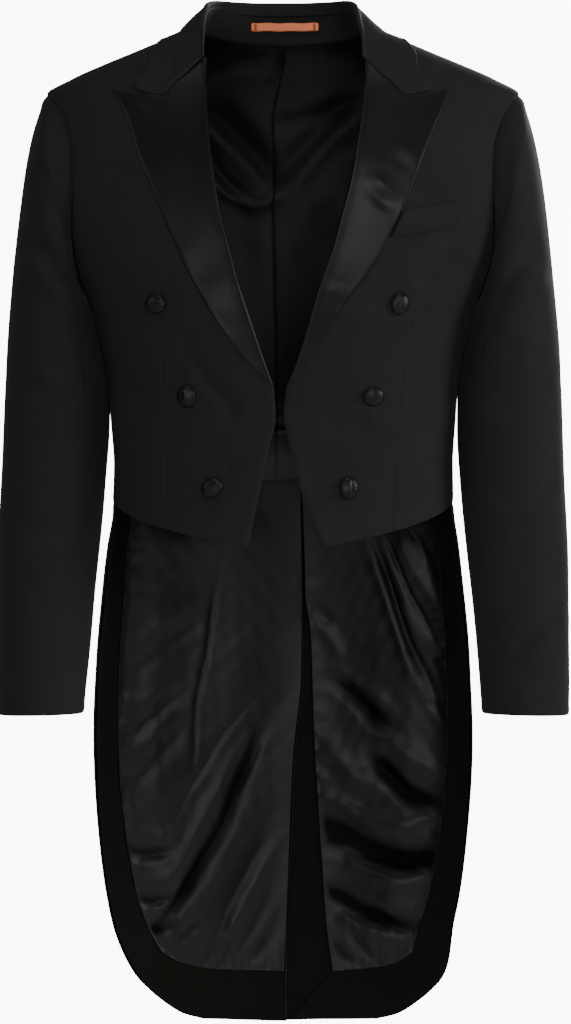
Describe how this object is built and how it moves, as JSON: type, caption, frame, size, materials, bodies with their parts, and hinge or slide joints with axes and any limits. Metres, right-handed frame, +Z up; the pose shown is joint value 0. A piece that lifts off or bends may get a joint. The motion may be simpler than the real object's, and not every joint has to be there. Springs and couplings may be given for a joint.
{
  "type": "tailcoat",
  "caption": "Men's black evening tailcoat, hollow and as worn, with satin peaked lapels, covered buttons, lined tails and a hanger loop.",
  "frame": {"origin": "between the wearer's shoulders, 14 mm below the back neck seam, where the shoulders carry the coat", "axes": "+Z up, the fronts face -Y, the wearer's left is +X"},
  "size_m": [0.585, 0.2565, 1.0721],
  "materials": {
    "black_wool": "fine matt wool twill",
    "black_satin": "soft sheen satin",
    "black_lining": "smooth glossy lining",
    "orange_ribbon": "satin ribbon"
  },
  "bodies": {
    "root": {"front_left": "black_wool", "front_right": "black_wool", "side_body_left": "black_wool", "side_body_right": "black_wool", "back_left": "black_wool", "back_right": "black_wool", "skirt_left": "black_wool", "skirt_right": "black_wool", "top_sleeve_left": "black_wool", "top_sleeve_right": "black_wool", "under_sleeve_left": "black_wool", "under_sleeve_right": "black_wool", "tail_facing_left": "black_wool", "tail_facing_right": "black_wool", "collar_stand": "black_wool", "collar_fall": "black_wool", "breast_welt": "black_wool", "lapel_left": "black_satin", "lapel_right": "black_satin", "button_left_1": "black_satin", "button_left_2": "black_satin", "button_left_3": "black_satin", "button_right_1": "black_satin", "button_right_2": "black_satin", "button_right_3": "black_satin", "back_lining_left": "black_lining", "back_lining_right": "black_lining", "tail_lining_left": "black_lining", "tail_lining_right": "black_lining", "hanger_loop": "orange_ribbon"}
  },
  "joints": []
}
